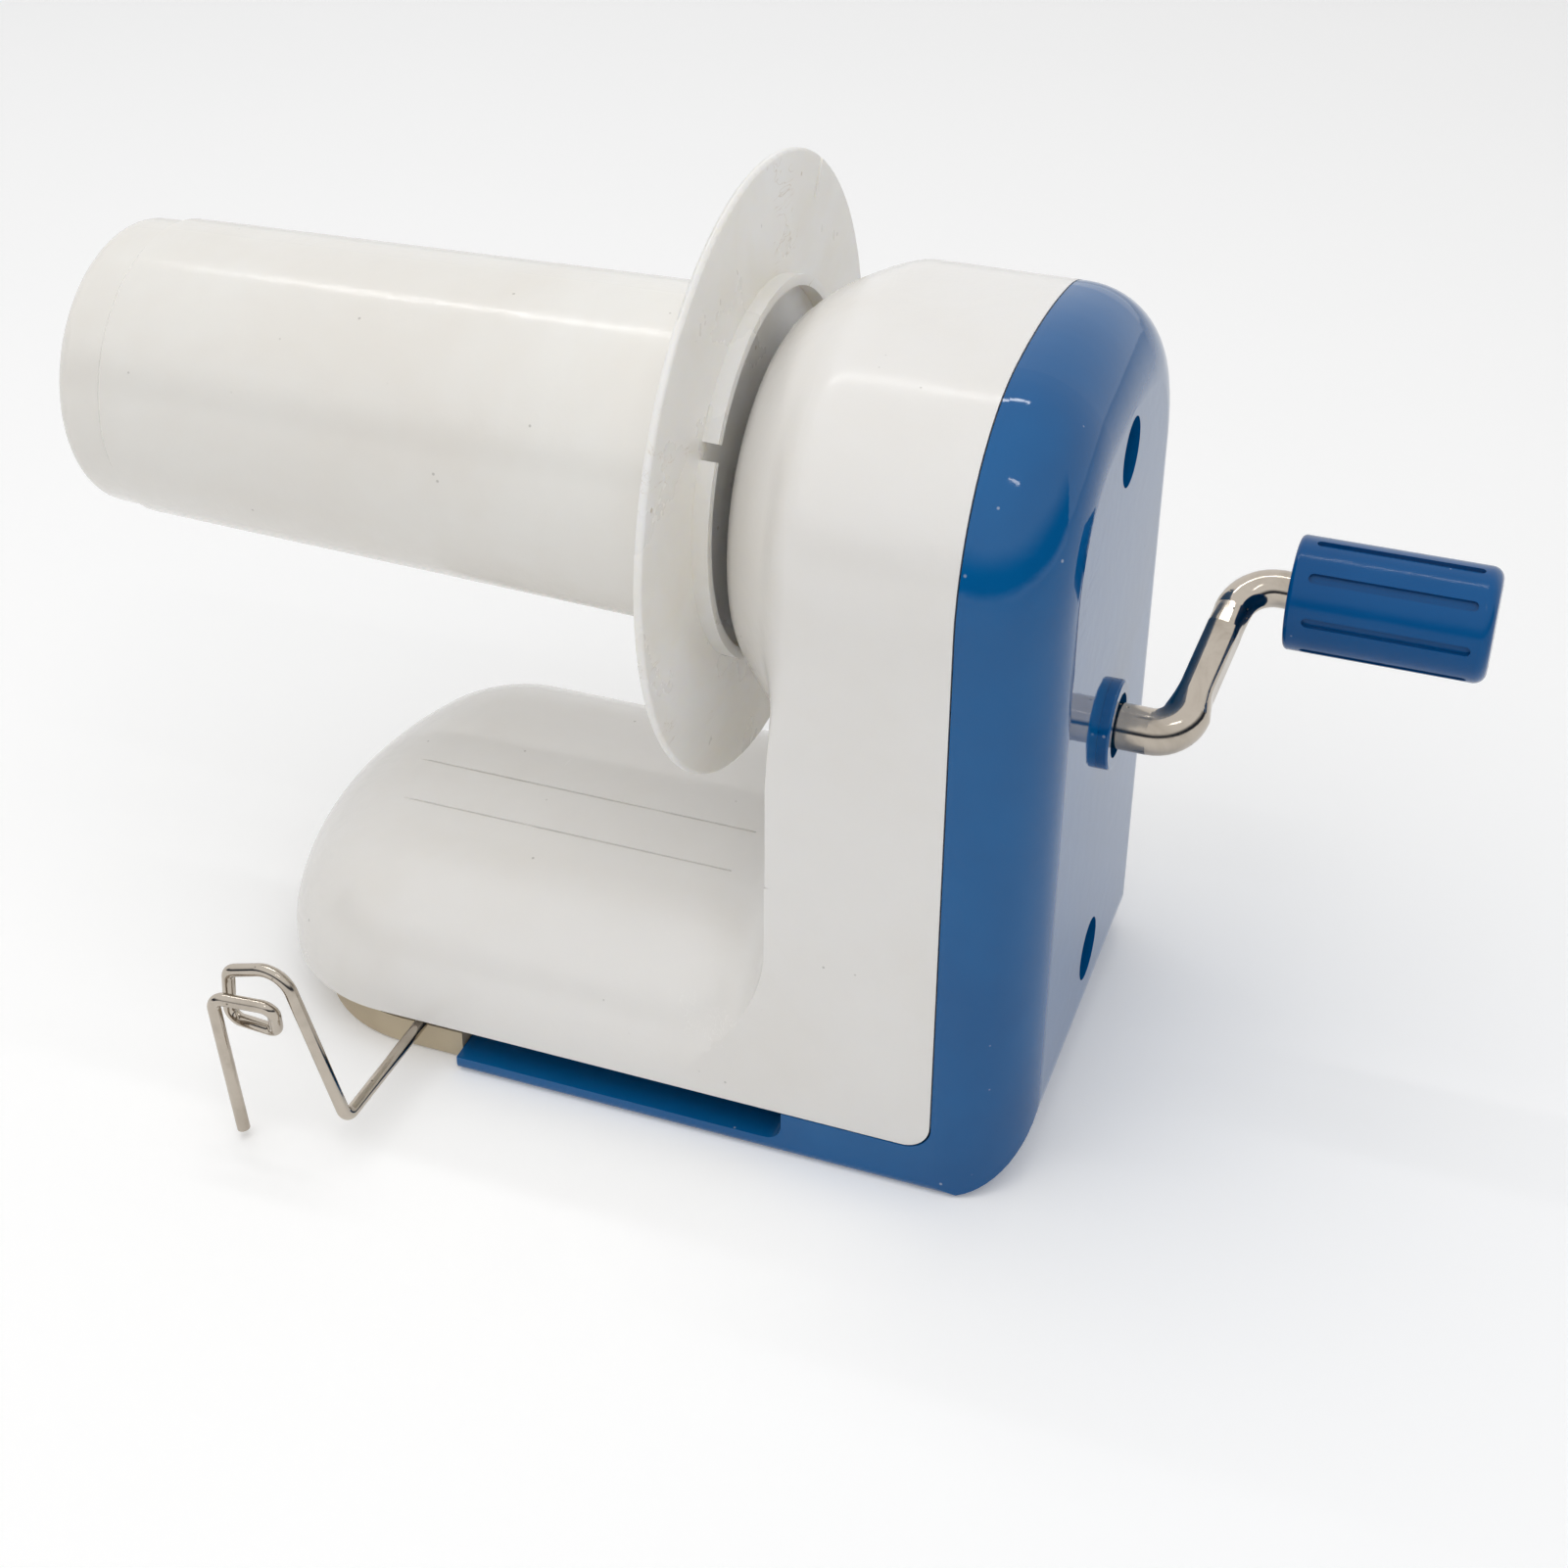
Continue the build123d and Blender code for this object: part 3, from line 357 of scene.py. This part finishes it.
def head_distance(points, blended=True):
    """Distance outside the head, in mm: the tower, with the boss that flares out into it."""
    x, y, z = points.T
    tiny = 1e-6
    grow = np.clip((z - BLEND_LOW) / (BLEND_HIGH - BLEND_LOW), 0.0, 1.0)
    rim = SHARP_BLEND + (BOSS_BLEND - SHARP_BLEND) * grow ** 2 * (3 - 2 * grow)
    cone = (boss_radius(y, z) - CONE_RADIUS - (x - CONE_X)) * sin(radians(45))
    boss = smooth_max(BOSS_FRONT - x, cone, EDGE_BLEND)
    front = TOWER_FRONT - x
    body = -smooth_max(-front, -boss, FOOT_BLEND if blended else tiny)
    return smooth_max(body, arch_distance(y, z), rim if blended else tiny)


def settle(points, rounds=12):
    """Moves points onto the blended head along its slope."""
    step = 0.01
    for _ in range(rounds):
        here = head_distance(points)
        slope = np.stack([(head_distance(points + step * axis) - here) / step for axis in np.eye(3)], 1)
        points = points - here[:, None] * slope / (slope ** 2).sum(1)[:, None]
    return points


def head_outline(spacing=1.4):
    """Points (y, z) round the arch, from one foot to the other."""
    fan = np.linspace(0.0, np.pi, 721)
    heights = np.arange(HEAD_FLOOR, BOSS_Z, spacing)
    y, z = -np.cos(fan), np.sin(fan)
    low, high = np.zeros_like(fan), np.full_like(fan, 90.0)
    for _ in range(40):
        middle = (low + high) / 2
        outside = arch_distance(middle * y, BOSS_Z + middle * z) > 0
        low, high = np.where(outside, low, middle), np.where(outside, middle, high)
    arc = np.stack([low * y, BOSS_Z + low * z], 1)
    path = np.concatenate([[(-HALF_WIDTH, height) for height in heights], arc,
                           [(HALF_WIDTH, height) for height in heights[::-1]]])
    lengths = np.r_[0.0, np.cumsum(np.hypot(*np.diff(path, axis=0).T))]
    even = np.linspace(0.0, lengths[-1], int(lengths[-1] / spacing))
    return np.stack([np.interp(even, lengths, path[:, axis]) for axis in (0, 1)], 1)


def head_grid():
    """Points and faces of the head's outside: a band round the arch, and the front up to the boss."""
    band_rows, front_rows, foot_columns = 26, 50, 66
    arch = head_outline()
    foot_y = np.linspace(HALF_WIDTH, -HALF_WIDTH, foot_columns + 2)[1:-1]
    loop = np.concatenate([arch, np.stack([foot_y, np.full(foot_columns, HEAD_FLOOR)], 1)])
    radius = boss_radius(*loop.T)
    edge_x = np.minimum(TOWER_FRONT, CONE_X + radius - CONE_RADIUS)
    rows = []
    for share in np.linspace(0.0, 1.0, band_rows, endpoint=False):
        x = SHELL_REAR + share * (edge_x[:len(arch)] - SHELL_REAR)
        rows.append(np.column_stack([x, arch]))
    away = (loop - (0.0, BOSS_Z)) / radius[:, None]
    for share in np.linspace(0.0, 1.0, front_rows):
        ring = radius + share * (BOSS_FACE_RADIUS - radius)
        x = np.clip(CONE_X + ring - CONE_RADIUS, BOSS_FRONT, TOWER_FRONT)
        rows.append(np.column_stack([x, (0.0, BOSS_Z) + away * ring[:, None]]))
    starts = np.r_[0, np.cumsum([len(row) for row in rows])]
    points = np.concatenate(rows)
    fixed = points[:len(arch)].copy()
    points = settle(points)
    points[:len(arch)] = fixed
    inner = slice(starts[-2], starts[-1])
    points[inner, 0] = BOSS_FRONT - FACE_STEP
    points[inner, 1:] = (0.0, BOSS_Z) + away * (BOSS_FACE_RADIUS - FACE_INSET)
    faces = []
    for row in range(len(rows) - 1):
        closed = row >= band_rows
        count = len(loop) if closed else len(arch) - 1
        for column in range(count):
            right = (column + 1) % len(loop) if closed else column + 1
            here, above = starts[row], starts[row + 1]
            faces.append((here + column, here + right, above + right, above + column))
    return points, faces


def front_shell():
    """The front housing: the CAD mesh up to the head, and the head with its boss blended in."""
    work = bmesh.new()
    work.from_mesh(frame["nodes"]["front_housing"].data)
    bmesh.ops.remove_doubles(work, verts=work.verts, dist=1e-6)
    bmesh.ops.bisect_plane(work, geom=work.verts[:] + work.edges[:] + work.faces[:], dist=1e-7,
                           plane_co=(0.0, 0.0, HEAD_FLOOR * MM), plane_no=(0.0, 0.0, 1.0))
    upper = [face for face in work.faces if face.calc_center_median().z > HEAD_FLOOR * MM]
    centres = np.array([face.calc_center_median()[:] for face in upper]) / MM
    depth = head_distance(centres, blended=False)
    radius = boss_radius(centres[:, 1], centres[:, 2])
    old = [face for face, under, ring in zip(upper, depth, radius)
           if under > -OLD_SKIN and face.normal.x < REARWARD and ring > BOSS_FACE_RADIUS - 0.1]
    bmesh.ops.delete(work, geom=old, context="FACES")
    points, faces = head_grid()
    verts = [work.verts.new(point * MM) for point in points]
    skin = [work.faces.new([verts[index] for index in face]) for face in faces]
    bmesh.ops.recalc_face_normals(work, faces=skin)
    if sum(face.normal.z for face in skin) < 0:
        bmesh.ops.reverse_faces(work, faces=skin)
    for face in work.faces:
        face.smooth = True
        face.material_index = 0
    for edge in work.edges:
        edge.smooth = len(edge.link_faces) == 2 and edge.calc_face_angle(0.0) < SHARP_ANGLE
    mesh = bpy.data.meshes.new("front_shell")
    work.to_mesh(mesh)
    work.free()
    shell = bpy.data.objects.new("front_shell", mesh)
    shell.data.materials.append(MATERIALS["white_plastic"])
    bpy.context.scene.collection.objects.link(shell)
    shading = shell.modifiers.new("weighted_normal", "WEIGHTED_NORMAL")
    shading.keep_sharp = True
    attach(shell, "housing")
    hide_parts("front_housing")


# ---------------------------------------------------------------- studio
AMBIENT = 0.47  # strength of the world for all rays but the ones that see the background
FLOOR_GLOW = 0.15  # lifts the floor towards white where it is seen, without lighting the object


def lamp(name, place, target, size, power, glossy=True):
    """Soft rectangular lamp that faces target, with the first side of size along X."""
    data = bpy.data.lights.new(name, "AREA")
    data.shape = "RECTANGLE"
    data.size, data.size_y = size
    data.energy = power
    item = bpy.data.objects.new(name, data)
    item.location = place
    away = (Vector(place) - Vector(target)).normalized()
    upright = away.cross(Vector((1.0, 0.0, 0.0))).normalized()
    item.rotation_euler = Matrix((upright.cross(away), upright, away)).transposed().to_euler()
    item.visible_glossy = glossy
    bpy.context.scene.collection.objects.link(item)


def sheet_object(name, corners, material):
    """Flat stage surface through four corners."""
    mesh = bpy.data.meshes.new(name)
    mesh.from_pydata(corners, [], [(0, 1, 2, 3)])
    item = bpy.data.objects.new(name, mesh)
    item.data.materials.append(material)
    bpy.context.scene.collection.objects.link(item)
    return item


def floor():
    """Plain pale floor under the object."""
    nodes = Nodes("floor_paint")
    tone = nodes.mix(nodes.noise(6.0, 2.0), (0.93, 0.93, 0.93, 1.0), (0.915, 0.915, 0.915, 1.0))
    nodes.set(Base_Color=tone, Roughness=0.9, IOR=1.2, Emission_Color=(1.0, 1.0, 1.0, 1.0),
              Emission_Strength=nodes.ramp(nodes.background_ray(), 0.0, 1.0, 0.0, FLOOR_GLOW))
    reach, level = 4.0, -0.0002
    sheet_object("floor", [(-reach, -reach, level), (reach, -reach, level),
                           (reach, reach, level), (-reach, reach, level)], nodes.material)


def dark_cards():
    """Dark cards low round the near side, seen only in reflections."""
    nodes = Nodes("dark_card")
    height = nodes.add("ShaderNodeSeparateXYZ")
    nodes.link(nodes.object_point, height.inputs["Vector"])
    radius, top, count = 1.3, 0.75, 10
    fade_low = nodes.ramp(height.outputs["Z"], 0.02, 0.16, 1.0, 0.0)
    fade_high = nodes.ramp(height.outputs["Z"], 0.30, top, 0.0, 1.0)
    bright = nodes.math("MAXIMUM", fade_low, fade_high)
    glow = nodes.mix(bright, (0.02, 0.028, 0.045, 1.0), (1.0, 1.0, 1.0, 1.0))
    nodes.set(Base_Color=(0.0, 0.0, 0.0, 1.0), Specular_IOR_Level=0.0, Roughness=1.0,
              Emission_Color=glow, Emission_Strength=1.0)
    start, end = radians(-165), radians(15)
    for index in range(count):
        first = start + (end - start) * index / count
        second = start + (end - start) * (index + 1) / count
        a = (radius * cos(first), radius * sin(first))
        b = (radius * cos(second), radius * sin(second))
        card = sheet_object(f"dark_card_{index}", [(*a, 0.0), (*b, 0.0), (*b, top), (*a, top)],
                            nodes.material)
        card.visible_camera = False
        card.visible_diffuse = False
        card.visible_shadow = False


def world():
    """Even light, with a white background for the camera, for gloss and for glass."""
    scene_world = bpy.data.worlds.new("studio")
    bpy.context.scene.world = scene_world
    scene_world.use_nodes = True
    tree = scene_world.node_tree
    background = tree.nodes["Background"]
    background.inputs["Color"].default_value = (1.0, 1.0, 1.0, 1.0)
    path = tree.nodes.new("ShaderNodeLightPath")
    seen = path.outputs["Is Camera Ray"]
    for other in ("Is Glossy Ray", "Is Transmission Ray"):
        either = tree.nodes.new("ShaderNodeMath")
        either.operation = "MAXIMUM"
        tree.links.new(seen, either.inputs[0])
        tree.links.new(path.outputs[other], either.inputs[1])
        seen = either.outputs["Value"]
    strength = tree.nodes.new("ShaderNodeMapRange")
    tree.links.new(seen, strength.inputs["Value"])
    strength.inputs["To Min"].default_value = AMBIENT
    strength.inputs["To Max"].default_value = 1.0
    tree.links.new(strength.outputs["Result"], background.inputs["Strength"])


def lights():
    """Overhead softbox and two narrow ceiling strips that draw the lines on the shoulders."""
    centre = (-0.03, 0.0, 0.08)
    lamp("overhead", (-0.12, -0.45, 1.3), centre, (1.6, 1.6), 9.6, glossy=False)
    lamp("strip_far", (-0.5, 0.58, 1.86), centre, (1.5, 0.05), 3.2)
    lamp("strip_near", (0.66, -0.9, 1.86), centre, (0.5, 0.04), 0.8)


def camera():
    """Camera at the photograph's angle."""
    azimuth, elevation, roll = radians(20.096), radians(30.994), radians(0.197)
    right = Vector((cos(azimuth), sin(azimuth), 0.0))
    back = Vector((sin(azimuth) * cos(elevation), -cos(azimuth) * cos(elevation), sin(elevation)))
    up = back.cross(right)
    across = cos(roll) * right + sin(roll) * up
    upright = -sin(roll) * right + cos(roll) * up
    data = bpy.data.cameras.new("camera")
    data.sensor_width = 36.0
    data.lens = 55.13
    data.shift_x = 0.0058
    data.shift_y = -0.103
    data.clip_start = 0.01
    item = bpy.data.objects.new("camera", data)
    turn = Matrix((across, upright, back)).transposed().to_4x4()
    item.matrix_world = Matrix.Translation(Vector((88.25, -377.56, 330.11)) * MM) @ turn
    bpy.context.scene.collection.objects.link(item)
    bpy.context.scene.camera = item


# ---------------------------------------------------------------- the scene
paint_nodes()
front_shell()
floor()
dark_cards()
world()
lights()
camera()
bpy.context.scene.view_settings.view_transform = "Standard"
